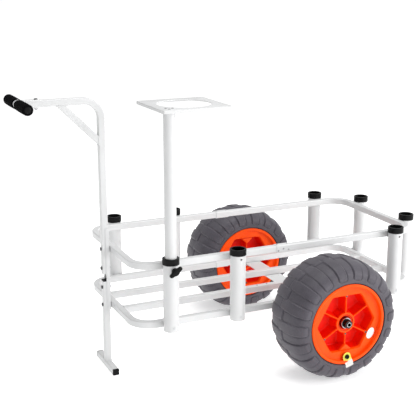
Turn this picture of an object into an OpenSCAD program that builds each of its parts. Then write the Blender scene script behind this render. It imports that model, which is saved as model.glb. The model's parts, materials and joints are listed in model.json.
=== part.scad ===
// Knock-down beach cart: two square-tube hoops, balloon wheels, rod holders, T-handle and a mast table.
// X runs from the handle (-X) to the rear, Y from left to right, Z up. Z = 0 is the ground.

/* [Basket] */
// Length of the hoops
basket_l = 1066; // [1000:2:1160]
// Width of the hoops
basket_w = 492; // [480:2:500]
// Height from the deck hoop's top to the top hoop's top
basket_h = 195.5; // [180:0.5:240]
// Side of the square tube
tube = 22; // [20:0.5:25]
// Wall of the square tube
tube_wall = 1.8; // [1.2:0.1:2.4]
// Outer bend radius of a hoop corner
hoop_bend_r = 76; // [60:1:100]
// Distance of a deck bar from the middle
deck_bar_y = 73; // [65:1:85]
// Length of a rail sleeve
sleeve_l = 50; // [46:1:60]

/* [Wheels] */
// Outer radius of a balloon tyre
tyre_r = 203; // [190:1:205]
// Width of a balloon tyre
tyre_w = 196; // [180:1:198]
// Outer radius of the rim lip
rim_r = 137; // [130:1:140]
// Distance of the wheel's middle from the centre line
track_half = 356; // [356:1:370]
// Distance of the axle behind the basket's middle
axle_back = 124; // [100:1:140]
// Radius of the axle
axle_r = 8; // [7:0.5:9]

/* [Rod holders] */
// Outer radius of a holder tube
holder_r = 25; // [24.5:0.1:26]
// Bore radius of a holder tube
holder_bore_r = 23; // [22:0.1:23.2]
// Height of a holder with its ring cap
holder_h = 240; // [230:1:260]
// Distance of the front pair ahead of the basket's middle
holder_front = 422; // [400:1:430]
// Distance of the middle pair ahead of the basket's middle
holder_mid = 189; // [150:1:200]
// Distance of the back pair behind the basket's middle
holder_back = 423; // [400:1:430]
// Distance of a rear holder from the centre line
holder_rear_y = 146.5; // [120:0.5:160]

/* [Handle and leg] */
// Height of the handle arm's top
arm_z = 926.5; // [880:0.5:980]
// Distance from the upright's front face to the T-bar
arm_reach = 252; // [240:1:280]
// Outer bend radius of the handle
handle_bend_r = 70; // [64:1:80]
// Length over both grips
grips_l = 256; // [240:1:280]
// Radius of a grip
grip_r = 17.5; // [16:0.5:20]
// Length of the foot bar with its end caps
foot_l = 172; // [150:1:220]

/* [Table] */
// Height of the table top
table_z = 916.5; // [860:0.5:940]
// Side of the square table
table_w = 230; // [220:1:240]
// Radius of the table's hole
table_hole_r = 85.5; // [70:0.5:90]
// Outer radius of the mast
mast_r = 19; // [18.5:0.1:19.5]

/* [Hidden] */
$fn = 48;
eps = 0.5;

// Heights, worked out from the axle upward
beam_t = 2.5;
beam_w = 62;
deck_bottom_z = tyre_r + axle_r + beam_t;
deck_z = deck_bottom_z + tube;
top_z = deck_z + basket_h;
deck_mid_z = deck_z - tube / 2;
top_mid_z = top_z - tube / 2;
rail_zs = [top_mid_z, deck_mid_z];

// Rod holder tubes, which hang beside the rails at this distance
hang = holder_r + 1;
holder_z0 = top_z + 20 - holder_h;
ring_h = 20;
ring_wall = 2;
ring_gap = 0.2;
ring_lining = 1.2;
ring_bore_r = holder_bore_r - ring_lining;
holder_tube_h = holder_h - ring_wall;
screw_head_r = 5;
stop_r = holder_bore_r + 0.4;
stop_t = 3;

// The overall box is centred on X = 0, so the basket sits behind the middle
channel_wall = 2;
pad_t = 2;
post_gap = pad_t + channel_wall;
front_reach = basket_l / 2 + post_gap + tube + arm_reach + grip_r;
rear_reach = basket_l / 2 + hang + holder_r + ring_wall + ring_gap;
basket_x = (front_reach - rear_reach) / 2;
front_x = basket_x - basket_l / 2;
rear_x = basket_x + basket_l / 2;
side_y = basket_w / 2;
rail_y = side_y - tube / 2;
axle_x = basket_x + axle_back;
axle_z = tyre_r;

// Joints between the front and rear halves
splice_x = basket_x - 8;
bar_splice_x = basket_x + 6;
splice_pitch = 38;
sleeve_wall = 1.5;
joiner_l = 60;

// Upright, channel and pads at the front
post_x = front_x - post_gap - tube / 2;
post_face_x = post_x - tube / 2;
channel_depth = 13;
channel_z = [deck_bottom_z - 5, top_z + 60];
post_bottom_z = 333.5;
leg_top_z = 308;
bolt_r = 3;
bolt_head_r = 5.8;
frame_nut_h = 4.5;
foot_cap_t = 4;
post_bolt_zs = [353, 286.5];
brace_run = 119;
brace_z = arm_z - tube - brace_run;
arm_mid_z = arm_z - tube / 2;

// T-bar and grips
tee_x = post_face_x - arm_reach;
tee_r = 12.7;
tee_wall = 2;
stem_w = 26;
stem_gap = 4;
stem_l = 50;
grip_end_t = 4;
tee_bolt_x = tee_x + 56;

// Holder stations: position and the direction towards the rail they hang on
holders = [
    [basket_x - holder_front, -side_y - hang, 90],
    [basket_x - holder_mid, -side_y - hang, 90],
    [basket_x + holder_back, -side_y - hang, 90],
    [basket_x - holder_front, side_y + hang, -90],
    [basket_x - holder_mid, side_y + hang, -90],
    [basket_x + holder_back, side_y + hang, -90],
    [rear_x + hang, -holder_rear_y, 180],
    [rear_x + hang, holder_rear_y, 180]
];

// Mast, table and clamp, all on the first holder
mast_x = holders[0][0];
mast_y = holders[0][1];
mast_wall = 1.8;
mast_bottom_z = holder_z0 + 10;
plate_t = 3;
plate_head_h = 1.8;
lip_h = 10;
plate_x = mast_x + 82;
plate_y = mast_y + 79;
plate_corner_r = 9;
run_gap = 0.05;
mast_gap = 0.15;
clamp_z = top_z - 15;
clamp_tilt = 35;
clamp_r = 4;
nut_h = 7;
knob_y = mast_y - holder_r - nut_h - 2.5;

// Wheel sections, measured from the wheel's own middle plane
tyre_wall = 3.6;
barrel_r = 125;
bead_r = barrel_r + 4;
well_r = 112;
disc_w = 82;
lip_w = 96.5;
floor_w = 40;
hub_r = 32;
hub_w = disc_w - 8;
hub_recess_r = 22;
hub_recess_w = 62;
rib_t = 3;
rib_w = disc_w - 4;
valve_r = barrel_r - 12;
bush_r = 15;
bush_head_r = 18;
bush_face = 83;
// Radius and angle of each screw that holds the two rim halves together
rim_screw_places = [[91, 90], [91, 210], [91, 330], [38, 270]];

// Along the axle, from the beam's straps out to its ends
strap_t = 2.5;
strap_ys = [-205, -45, 45, 205];
beam_screw_l = beam_t + 3;
spacer_gap = 0.2;
washer_y = track_half + bush_face + spacer_gap;
collar_y = washer_y + 5;
collar_l = 10;
collar_r = 13;
collar_screw_l = 4.8;
axle_washer_r = 15.5;
axle_end_y = track_half + 100;
axle_bore_r = 6;

// ---- shared shapes -------------------------------------------------------------------------------

module rounded_rect(w, h, r) {
    square([w - 2 * r, h], center = true);
    square([w, h - 2 * r], center = true);
    for (sx = [-1, 1])
        for (sy = [-1, 1])
            translate([sx * (w / 2 - r), sy * (h / 2 - r)])
                circle(r, $fn = 32);
}

module tube_section() {
    difference() {
        rounded_rect(tube, tube, 3);
        rounded_rect(tube - 2 * tube_wall, tube - 2 * tube_wall, 1.4);
    }
}

module bar_x(x0, x1, y, z) {
    translate([x0, y, z])
        rotate([90, 0, 90])
            linear_extrude(x1 - x0)
                children();
}

module post_z(x, y, z0, z1) {
    translate([x, y, z0])
        linear_extrude(z1 - z0)
            children();
}

module rod(r, h, pos, rot) {
    translate(pos)
        rotate(rot)
            cylinder(r = r, h = h);
}

// A screw whose head rests on z = 0 and whose shank runs down
module pan_screw(r, head_r, head_h, l) {
    cylinder(r = head_r, h = head_h);
    translate([0, 0, -l])
        cylinder(r = r, h = l);
}

module each_holder(list) {
    for (i = list)
        translate([holders[i][0], holders[i][1], 0])
            rotate([0, 0, holders[i][2]])
                children();
}

// ---- fastener places -----------------------------------------------------------------------------

// Screws of one outer sleeve: two on top, three on the outer face
module sleeve_screw_set(z, side, r, head_r, head_h, l) {
    for (dx = [-splice_pitch / 2, splice_pitch / 2]) {
        translate([splice_x + dx, side * rail_y, z + tube / 2 + sleeve_wall])
            pan_screw(r, head_r, head_h, l);
        translate([splice_x + dx, side * (side_y + sleeve_wall), z - 5])
            rotate([-90 * side, 0, 0])
                pan_screw(r, head_r, head_h, l);
    }
    translate([splice_x, side * (side_y + sleeve_wall), z])
        rotate([-90 * side, 0, 0])
            pan_screw(r, head_r, head_h, l);
}

module joiner_screw_set(r, head_r, head_h, l) {
    for (side = [-1, 1])
        for (dx = [-splice_pitch / 2, splice_pitch / 2])
            translate([bar_splice_x + dx, side * deck_bar_y, deck_z])
                pan_screw(r, head_r, head_h, l);
}

module all_splice_screws(head_r, head_h) {
    for (z = rail_zs)
        for (side = [-1, 1])
            sleeve_screw_set(z, side, 1.5, head_r, head_h, 5);
    joiner_screw_set(1.5, head_r, head_h, 5);
}

// A flush screw in each holder, driven from inside the tube into the rail
module holder_screw_set() {
    for (z = rail_zs)
        each_holder([0:7])
            translate([holder_bore_r + 0.05, 0, z])
                rotate([0, 90, 0]) {
                    cylinder(r = screw_head_r, h = 2.6);
                    cylinder(r = 2.5, h = 9);
                }
}

module handle_bolt_shanks(l) {
    for (z = rail_zs)
        rod(bolt_r, l + tube + pad_t, [post_face_x, 0, z], [0, 90, 0]);
    for (z = post_bolt_zs)
        rod(bolt_r, l, [post_face_x, 0, z], [0, 90, 0]);
}

module rivet_shanks(h) {
    for (dx = [-23, 23])
        for (y = [-rail_y, -deck_bar_y, deck_bar_y, rail_y])
            translate([axle_x + dx, y, deck_bottom_z - beam_t])
                cylinder(r = 2.4, h = h);
}

module strap_shanks(h) {
    for (dx = [-15, 15])
        for (y = strap_ys)
            translate([axle_x + dx, y, deck_bottom_z - beam_t - strap_t])
                cylinder(r = 2, h = h);
}

// ---- basket --------------------------------------------------------------------------------------

// One half of a hoop, bent round at the rear; the front half is its mirror image
module hoop_half(split, z) {
    bend_mid = hoop_bend_r - tube / 2;
    for (side = [-1, 1]) {
        bar_x(split, basket_l / 2 - hoop_bend_r, side * rail_y, z)
            tube_section();
        translate([basket_l / 2 - hoop_bend_r, side * (side_y - hoop_bend_r), z])
            rotate([0, 0, side > 0 ? 0 : -90])
                rotate_extrude(angle = 90, $fn = 96)
                    translate([bend_mid, 0])
                        tube_section();
    }
    translate([basket_l / 2 - tube / 2, side_y - hoop_bend_r, z])
        rotate([90, 0, 0])
            linear_extrude(basket_w - 2 * hoop_bend_r)
                tube_section();
}

module hoop(front, z) {
    color("white")
        difference() {
            translate([basket_x, 0, 0])
                mirror([front ? 1 : 0, 0, 0])
                    hoop_half(front ? basket_x - splice_x : splice_x - basket_x, z);
            all_splice_screws(3, 1);
            holder_screw_set();
            if (front)
                handle_bolt_shanks(tube + channel_wall);
            if (z < top_mid_z)
                rivet_shanks(beam_screw_l);
        }
}

module front_top_hoop() {
    hoop(true, top_mid_z);
}

module rear_top_hoop() {
    hoop(false, top_mid_z);
}

module front_deck_hoop() {
    hoop(true, deck_mid_z);
}

module rear_deck_hoop() {
    hoop(false, deck_mid_z);
}

module rail_sleeves() {
    sleeve = tube + 2 * sleeve_wall;
    color("white")
        difference() {
            for (z = rail_zs)
                for (side = [-1, 1])
                    bar_x(splice_x - sleeve_l / 2, splice_x + sleeve_l / 2, side * rail_y, z)
                        difference() {
                            rounded_rect(sleeve, sleeve, 4);
                            rounded_rect(tube, tube, 3);
                        }
            all_splice_screws(1.5, 0.2);
        }
}

module splice_screws() {
    color("silver")
        all_splice_screws(3, 1.6);
}

module deck_bar_pair(x0, x1) {
    color("white")
        difference() {
            for (side = [-1, 1])
                bar_x(x0, x1, side * deck_bar_y, deck_mid_z)
                    tube_section();
            joiner_screw_set(1.5, 3, 1, 5);
            rivet_shanks(beam_screw_l);
        }
}

module front_deck_bars() {
    deck_bar_pair(front_x + tube, bar_splice_x);
}

module rear_deck_bars() {
    deck_bar_pair(bar_splice_x, rear_x - tube);
}

module deck_joiners() {
    inner = tube - 2 * tube_wall;
    color("silver")
        difference() {
            for (side = [-1, 1])
                bar_x(bar_splice_x - joiner_l / 2, bar_splice_x + joiner_l / 2, side * deck_bar_y, deck_mid_z)
                    difference() {
                        rounded_rect(inner, inner, 1.4);
                        square(inner - 4, center = true);
                    }
            joiner_screw_set(1.5, 3, 1, 5);
        }
}

// ---- axle ----------------------------------------------------------------------------------------

module axle_beam() {
    color("white")
        difference() {
            translate([axle_x - beam_w / 2, -side_y, deck_bottom_z - beam_t])
                cube([beam_w, basket_w, beam_t]);
            rivet_shanks(beam_screw_l);
            strap_shanks(6);
        }
}

module beam_rivets() {
    color("silver") {
        rivet_shanks(beam_screw_l);
        for (dx = [-23, 23])
            for (y = [-rail_y, -deck_bar_y, deck_bar_y, rail_y])
                translate([axle_x + dx, y, deck_bottom_z - beam_t - 1.6])
                    cylinder(r = 4.4, h = 1.6);
        strap_shanks(5);
        for (dx = [-15, 15])
            for (y = strap_ys)
                translate([axle_x + dx, y, deck_bottom_z - beam_t - 4.5])
                    cylinder(r = 4, h = 2);
    }
}

module axle() {
    color("silver")
        difference() {
            rod(axle_r, 2 * axle_end_y, [axle_x, axle_end_y, axle_z], [90, 0, 0]);
            for (side = [-1, 1])
                translate([axle_x, side * (axle_end_y - 25), axle_z])
                    rotate([-90 * side, 0, 0])
                        cylinder(r = axle_bore_r, h = 26);
        }
}

// A U round the axle with a foot on each side
module strap_outline() {
    outer = axle_r + strap_t;
    difference() {
        union() {
            circle(outer);
            translate([-outer, 0])
                square([2 * outer, axle_r]);
            translate([-20, axle_r - strap_t])
                square([40, strap_t]);
        }
        circle(axle_r);
        translate([-axle_r, 0])
            square([2 * axle_r, outer]);
        translate([-outer, axle_r])
            square([2 * outer, outer]);
    }
}

// Four straps that hold the axle up against the beam
module axle_straps() {
    strap_w = 18;
    color("silver")
        difference() {
            for (y = strap_ys)
                translate([axle_x, y + strap_w / 2, axle_z])
                    rotate([90, 0, 0])
                        linear_extrude(strap_w)
                            strap_outline();
            strap_shanks(6);
        }
}

// Ring on the axle between two distances from the centre line, on both sides
module axle_rings(outer_r, y0, y1) {
    for (side = [-1, 1])
        translate([axle_x, side * y0, axle_z])
            rotate([-90 * side, 0, 0])
                difference() {
                    cylinder(r = outer_r, h = y1 - y0);
                    translate([0, 0, -eps])
                        cylinder(r = axle_r, h = y1 - y0 + 2 * eps);
                }
}

module wheel_spacers() {
    color("dimgray")
        axle_rings(14, side_y + 1, track_half - bush_face - spacer_gap);
}

module axle_washers() {
    color("black")
        axle_rings(axle_washer_r, washer_y, collar_y);
}

// A hole in each collar, from one distance outside the axle to another
module collar_screw_bores(r, h0, h1) {
    for (side = [-1, 1])
        translate([axle_x, side * (collar_y + collar_l / 2), axle_z - axle_r - h1])
            cylinder(r = r, h = h1 - h0);
}

module axle_collars() {
    color("silver")
        difference() {
            axle_rings(collar_r, collar_y, collar_y + collar_l);
            collar_screw_bores(2.5, -1, 12);
        }
}

module collar_screws() {
    color("gray")
        difference() {
            collar_screw_bores(2.5, 0, collar_screw_l);
            collar_screw_bores(1.2, 2, collar_screw_l + 1);
        }
}

// ---- wheels --------------------------------------------------------------------------------------

// Places a wheel piece built with its axis along Z; +Z becomes the outward direction
module at_wheel(side) {
    translate([axle_x, side * track_half, axle_z])
        rotate([-90 * side, 0, 0])
            children();
}

function power(v, e) = sign(v) * pow(abs(v), e);

// Balloon outline: half width w, height above the rim h, for angles across the tyre
function balloon(w, h, steps) = [
    for (i = [0:steps])
        let (a = -90 + 180 * i / steps)
            [rim_r + 0.3 + h * pow(cos(a), 0.6), w * power(sin(a), 0.8)]
];

module tyre(side) {
    h = tyre_r - rim_r - 0.3;
    w = tyre_w / 2;
    color("dimgray")
        at_wheel(side)
            rotate_extrude($fn = 96)
                union() {
                    difference() {
                        polygon(balloon(w, h, 28));
                        polygon(balloon(w - tyre_wall, h - tyre_wall, 28));
                        translate([rim_r, -w + tyre_wall])
                            square([0.3 + 2 * eps, 2 * (w - tyre_wall)]);
                    }
                    for (s = [-1, 1]) {
                        translate([bead_r, s > 0 ? disc_w + 2 : -disc_w - 8])
                            square([rim_r + 1.5 - bead_r, 6]);
                        translate([rim_r + 0.3, s > 0 ? disc_w + 2 : -w + 0.8])
                            square([3, w - 0.8 - disc_w - 2]);
                    }
                }
}

module each_rim_screw() {
    for (p = rim_screw_places)
        rotate([0, 0, p[1]])
            translate([p[0], 0, 0])
                children();
}

function on_circle(r, a) = [r * cos(a), r * sin(a)];

// Mouth of one pocket, with the hexagon's corner at angle 0 and a rib on each side
pocket_mouth = let (
    rib = [rib_t / 2 * sin(30), rib_t / 2 * cos(30)],
    inner = hub_r + 1,
    outer = well_r * cos(30) - 1
) concat(
    [for (a = [-24:8:24]) on_circle(inner, a)],
    [
        on_circle(inner, 30) + [rib[0], -rib[1]],
        on_circle(outer, 30) + [rib[0], -rib[1]],
        on_circle(well_r - 1, 0),
        on_circle(outer, -30) + rib,
        on_circle(inner, -30) + rib
    ]
);

// Pocket between two ribs, open at the ribs' outer edge
module pocket() {
    translate([0, 0, floor_w])
        linear_extrude(rib_w - floor_w + eps)
            polygon(pocket_mouth);
}

// One half of the rim: barrel, lip, ring, hexagonal well with six ribs, and hub
module rim_half(side, outward) {
    color("orangered")
        at_wheel(side)
            mirror([0, 0, outward ? 0 : 1])
                difference() {
                    union() {
                        rotate_extrude($fn = 96)
                            rim_section();
                        translate([0, 0, floor_w - 4])
                            cylinder(r = well_r, h = rib_w - floor_w + 4, $fn = 6);
                        translate([0, 0, rib_w])
                            linear_extrude(disc_w - rib_w)
                                difference() {
                                    circle(barrel_r - 1, $fn = 96);
                                    circle(well_r - 1, $fn = 6);
                                }
                    }
                    for (k = [0:5])
                        rotate([0, 0, 60 * k])
                            pocket();
                    translate([0, 0, hub_w])
                        cylinder(r = hub_r + 1, h = disc_w);
                    translate([0, 0, hub_recess_w])
                        cylinder(r = hub_recess_r, h = disc_w);
                    translate([0, 0, -eps])
                        cylinder(r = bush_r, h = disc_w);
                    each_rim_screw()
                        translate([0, 0, -eps])
                            cylinder(r = 2.5, h = disc_w + 10);
                    if (outward)
                        rotate([0, 0, -90])
                            translate([valve_r, 0, rib_w - 30])
                                cylinder(r = 4, h = 60);
                }
}

// Barrel, rounded lip, the step inside it and the hub
module rim_section() {
    translate([barrel_r - 3.5, 0])
        square([3.5, disc_w]);
    translate([barrel_r - 3.5, disc_w - 4])
        square([bead_r - barrel_r + 3.5, 4.5]);
    translate([bead_r - 3, disc_w])
        square([3, lip_w - disc_w - 1]);
    translate([barrel_r + 1, lip_w - 5])
        square([rim_r - barrel_r - 3.5, 5]);
    translate([rim_r - 2.5, lip_w - 2.5])
        circle(2.5, $fn = 32);
    translate([rim_r - 4, lip_w - 5])
        square([4, 2.5]);
    square([hub_r, hub_w]);
}

module rim_screws(side) {
    color("gray")
        at_wheel(side)
            each_rim_screw() {
                cylinder(r = 2.5, h = 2 * rib_w, center = true);
                for (s = [0, 1])
                    mirror([0, 0, s])
                        translate([0, 0, rib_w])
                            cylinder(r = 4, h = 2);
            }
}

// Flanged steel bushes pressed into both ends of the hub
module bushes(side) {
    color("silver")
        at_wheel(side)
            for (s = [0, 1])
                mirror([0, 0, s])
                    difference() {
                        union() {
                            translate([0, 0, hub_recess_w - 20])
                                cylinder(r = bush_r, h = 21);
                            translate([0, 0, hub_recess_w])
                                cylinder(r = bush_head_r, h = bush_face - hub_recess_w);
                        }
                        translate([0, 0, hub_recess_w - 21])
                            cylinder(r = axle_r + run_gap, h = 50);
                    }
}

module valve(side) {
    color("black")
        at_wheel(side)
            rotate([0, 0, -90])
                translate([valve_r, 0, rib_w - 4]) {
                    cylinder(r = 4, h = 8);
                    translate([0, 0, 8])
                        cylinder(r = 6, h = 2);
                    cylinder(r = 2.6, h = 18);
                    translate([0, 0, 12])
                        cylinder(r = 3.6, h = 7);
                }
}

module left_tyre() {
    tyre(-1);
}

module left_rim_outer() {
    rim_half(-1, true);
}

module left_rim_inner() {
    rim_half(-1, false);
}

module left_rim_screws() {
    rim_screws(-1);
}

module left_bushes() {
    bushes(-1);
}

module left_valve() {
    valve(-1);
}

module right_tyre() {
    tyre(1);
}

module right_rim_outer() {
    rim_half(1, true);
}

module right_rim_inner() {
    rim_half(1, false);
}

module right_rim_screws() {
    rim_screws(1);
}

module right_bushes() {
    bushes(1);
}

module right_valve() {
    valve(1);
}

// ---- upright, handle and leg ---------------------------------------------------------------------

// Open-fronted channel that takes the back half of the handle tube and of the leg
module mast_channel() {
    back_x = front_x - pad_t;
    w = tube + 2 * channel_wall;
    color("white")
        difference() {
            translate([back_x - channel_depth, -w / 2, channel_z[0]])
                cube([channel_depth, w, channel_z[1] - channel_z[0]]);
            translate([back_x - channel_depth - eps, -tube / 2, channel_z[0] - eps])
                cube([channel_depth + eps - channel_wall, tube, channel_z[1] - channel_z[0] + 2 * eps]);
            handle_bolt_shanks(tube + channel_wall);
        }
}

module channel_pads() {
    color("dimgray")
        difference() {
            for (z = rail_zs)
                translate([front_x - pad_t, -12, z - 9])
                    cube([pad_t, 24, 18]);
            handle_bolt_shanks(tube + channel_wall);
        }
}

module handle_tube() {
    bend_mid = handle_bend_r - tube / 2;
    bend_x = post_x - bend_mid;
    bend_z = arm_mid_z - bend_mid;
    color("white")
        difference() {
            union() {
                post_z(post_x, 0, post_bottom_z, bend_z)
                    tube_section();
                translate([bend_x, 0, bend_z])
                    rotate([90, 0, 0])
                        rotate_extrude(angle = 90, $fn = 96)
                            translate([bend_mid, 0])
                                tube_section();
                bar_x(tee_x + tee_r + stem_gap, bend_x, 0, arm_mid_z)
                    tube_section();
            }
            handle_bolt_shanks(tube + channel_wall);
            tee_bolt_shank();
        }
}

// Diagonal tube cut flat where it meets the arm and the upright
module handle_brace() {
    l = brace_run * 4;
    color("white")
        intersection() {
            translate([post_face_x, 0, brace_z])
                rotate([0, -45, 0])
                    translate([0, 0, -l / 2])
                        linear_extrude(l)
                            tube_section();
            translate([post_face_x - brace_run * 2, -tube, brace_z - tube * 2])
                cube([brace_run * 2, 2 * tube, arm_z - tube - brace_z + tube * 2]);
        }
}

module tee_bolt_shank() {
    rod(bolt_r, stem_w, [tee_bolt_x, 0, arm_mid_z - stem_w / 2], [0, 0, 0]);
}

module tee_bar() {
    bar_l = grips_l - 2 * grip_end_t;
    color("white")
        difference() {
            union() {
                rod(tee_r, bar_l, [tee_x, bar_l / 2, arm_mid_z], [90, 0, 0]);
                bar_x(tee_x, tee_x + tee_r + stem_l, 0, arm_mid_z)
                    rounded_rect(stem_w, stem_w, 4);
            }
            rod(tee_r - tee_wall, bar_l + 2, [tee_x, bar_l / 2 + 1, arm_mid_z], [90, 0, 0]);
            bar_x(tee_x + tee_r + stem_gap, tee_x + tee_r + stem_l + 1, 0, arm_mid_z)
                rounded_rect(tube, tube, 3);
            tee_bolt_shank();
        }
}

// Closed-end foam grip with a rounded shoulder at each end
module grip(side) {
    l = (grips_l - stem_w) / 2;
    shoulder = 4;
    color("black")
        translate([tee_x, side * stem_w / 2, arm_mid_z])
            rotate([-90 * side, 0, 0])
                difference() {
                    rotate_extrude() {
                        square([grip_r - shoulder, l]);
                        translate([0, shoulder])
                            square([grip_r, l - 2 * shoulder]);
                        for (y = [shoulder, l - shoulder])
                            translate([grip_r - shoulder, y])
                                circle(shoulder, $fn = 32);
                    }
                    translate([0, 0, -eps])
                        cylinder(r = tee_r, h = l - grip_end_t + eps);
                }
}

module left_grip() {
    grip(-1);
}

module right_grip() {
    grip(1);
}

module frame_bolts() {
    color("dimgray") {
        handle_bolt_shanks(tube + channel_wall + 6);
        for (z = concat(rail_zs, post_bolt_zs))
            rod(bolt_head_r, 4, [post_face_x - 4, 0, z], [0, 90, 0]);
        rod(bolt_r, stem_w + 6, [tee_bolt_x, 0, arm_mid_z - stem_w / 2 - 6], [0, 0, 0]);
        rod(bolt_head_r, 3, [tee_bolt_x, 0, arm_mid_z + stem_w / 2], [0, 0, 0]);
    }
}

module hex_nut(pos, rot) {
    translate(pos)
        rotate(rot)
            difference() {
                cylinder(r = bolt_head_r, h = frame_nut_h, $fn = 6);
                translate([0, 0, -eps])
                    cylinder(r = bolt_r, h = frame_nut_h + 2 * eps);
            }
}

module frame_nuts() {
    color("silver") {
        for (z = rail_zs)
            hex_nut([front_x + tube, 0, z], [0, 90, 0]);
        for (z = post_bolt_zs)
            hex_nut([front_x - pad_t, 0, z], [0, 90, 0]);
        hex_nut([tee_bolt_x, 0, arm_mid_z - stem_w / 2 - frame_nut_h], [0, 0, 0]);
    }
}

module front_leg() {
    color("white")
        difference() {
            post_z(post_x, 0, tube, leg_top_z)
                tube_section();
            handle_bolt_shanks(tube + channel_wall);
        }
}

module foot_bar() {
    l = foot_l - 2 * foot_cap_t;
    color("white")
        translate([post_x, l / 2, tube / 2])
            rotate([90, 0, 0])
                linear_extrude(l)
                    tube_section();
}

module square_cap() {
    linear_extrude(foot_cap_t)
        rounded_rect(tube, tube, 3);
    translate([0, 0, -14])
        linear_extrude(14)
            rounded_rect(tube - 2 * tube_wall, tube - 2 * tube_wall, 1.4);
}

// Square caps on the foot bar and the leg, and the stop in each holder's foot that a rod butt rests on
module end_plugs() {
    color("black")
        difference() {
            union() {
                each_holder([0:7])
                    translate([0, 0, holder_z0])
                        difference() {
                            cylinder(r = stop_r, h = stop_t, $fn = 64);
                            translate([0, 0, -eps])
                                cylinder(r = 7, h = stop_t + 2 * eps);
                        }
                for (side = [-1, 1])
                    translate([post_x, side * (foot_l / 2 - foot_cap_t), tube / 2])
                        rotate([-90 * side, 0, 0])
                            square_cap();
                translate([post_x, 0, leg_top_z])
                    square_cap();
            }
            handle_bolt_shanks(tube + channel_wall);
        }
}

// ---- rod holders ---------------------------------------------------------------------------------

module holder(i) {
    color("white")
        difference() {
            translate([holders[i][0], holders[i][1], holder_z0])
                difference() {
                    cylinder(r = holder_r, h = holder_tube_h, $fn = 64);
                    translate([0, 0, -eps])
                        cylinder(r = holder_bore_r, h = holder_tube_h + 2 * eps, $fn = 64);
                    translate([0, 0, -eps])
                        cylinder(r = stop_r, h = stop_t + eps, $fn = 64);
                }
            holder_screw_set();
            // Driver holes in the wall opposite the rail
            for (z = rail_zs)
                each_holder([i])
                    translate([-holder_r - 1, 0, z])
                        rotate([0, 90, 0])
                            cylinder(r = 3.5, h = 5);
            if (i == 0)
                clamp_bore(6);
        }
}

module holder_1() {
    holder(0);
}

module holder_2() {
    holder(1);
}

module holder_3() {
    holder(2);
}

module holder_4() {
    holder(3);
}

module holder_5() {
    holder(4);
}

module holder_6() {
    holder(5);
}

module holder_7() {
    holder(6);
}

module holder_8() {
    holder(7);
}

module holder_rings() {
    color("black")
        each_holder([1:7])
            translate([0, 0, top_z + 20 - ring_h])
                rotate_extrude($fn = 64) {
                    ring_section(ring_bore_r);
                    translate([ring_bore_r, 0])
                        square([ring_lining, ring_h - ring_wall]);
                }
}

// Skirt over the tube's end and a lip on top of it
module ring_section(lip_r) {
    difference() {
        union() {
            translate([holder_r, 0])
                square([ring_wall + ring_gap, ring_h - 1.2]);
            translate([lip_r, ring_h - ring_wall])
                square([holder_r + ring_wall - 1 - lip_r, ring_wall]);
            translate([holder_r + ring_wall - 1, ring_h - 1.2])
                circle(1.2, $fn = 32);
        }
        translate([lip_r - 5, ring_h - ring_wall - 3])
            square([holder_r + ring_gap + 5 - lip_r, 3]);
    }
}

// Blocks that fill the gap between a round holder and the flat rail
module holder_saddles() {
    color("dimgray")
        difference() {
            for (z = rail_zs)
                each_holder([0:7])
                    translate([0, 0, z - 10])
                        linear_extrude(20)
                            difference() {
                                translate([hang - 7, -16])
                                    square([7, 32]);
                                circle(holder_r, $fn = 64);
                            }
            holder_screw_set();
        }
}

module holder_screws() {
    color("silver")
        holder_screw_set();
}

// ---- clamp and table -----------------------------------------------------------------------------

module clamp_bore(r) {
    rod(r, 40, [mast_x, mast_y - 15, clamp_z], [90, 0, 0]);
}

// Cap on the first holder that closes the ring round the mast
module clamp_collar() {
    color("black")
        translate([mast_x, mast_y, top_z + 20 - ring_h])
            rotate_extrude($fn = 64) {
                ring_section(mast_r + mast_gap);
                translate([mast_r + mast_gap, 2])
                    square([holder_bore_r - mast_r - mast_gap, ring_h - ring_wall - 2]);
            }
}

module clamp_nut() {
    color("silver")
        difference() {
            rod(9, nut_h + 3, [mast_x, mast_y - holder_r + 2, clamp_z], [90, 0, 0]);
            translate([mast_x, mast_y, holder_z0])
                cylinder(r = holder_r, h = holder_h, $fn = 64);
            clamp_bore(clamp_r + run_gap);
        }
}

module clamp_screw() {
    color("silver")
        rod(clamp_r, 24, [mast_x, mast_y - mast_r - 0.1, clamp_z], [90, 0, 0]);
}

// Two-winged knob with a round hub
module clamp_knob() {
    wing_l = 25;
    wing_r = 7;
    color("black")
        translate([mast_x, knob_y, clamp_z])
            rotate([90, -clamp_tilt, 0])
                difference() {
                    union() {
                        cylinder(r = 12, h = 14);
                        for (s = [-1, 1])
                            hull() {
                                translate([0, 0, 3])
                                    cylinder(r = 8, h = 9, $fn = 32);
                                translate([s * (wing_l - wing_r), 0, 4])
                                    cylinder(r = wing_r, h = 9, $fn = 32);
                            }
                    }
                    translate([0, 0, -1])
                        cylinder(r = clamp_r + run_gap, h = 11);
                }
}

module table_mast() {
    top = table_z - plate_t;
    color("white")
        difference() {
            translate([mast_x, mast_y, mast_bottom_z])
                cylinder(r = mast_r, h = top - mast_bottom_z, $fn = 64);
            translate([mast_x, mast_y, mast_bottom_z - eps])
                cylinder(r = mast_r - mast_wall, h = top - mast_bottom_z - 12 + eps, $fn = 64);
            plate_screw_set(plate_head_h);
        }
}

// Plug on the mast's foot that keeps it centred in the holder
module mast_foot_plug() {
    color("black")
        translate([mast_x, mast_y, mast_bottom_z - 6]) {
            cylinder(r = holder_bore_r - run_gap, h = 5.8, $fn = 64);
            translate([0, 0, 5])
                cylinder(r = mast_r - mast_wall - run_gap, h = 22, $fn = 64);
        }
}

// Screws whose heads lie flush in the plate's top
module plate_screw_set(head_h) {
    for (a = [130, 250, 10])
        translate([mast_x, mast_y, table_z - plate_head_h])
            rotate([0, 0, a])
                translate([12, 0, 0])
                    pan_screw(2, 4, head_h, 9);
}

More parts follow.
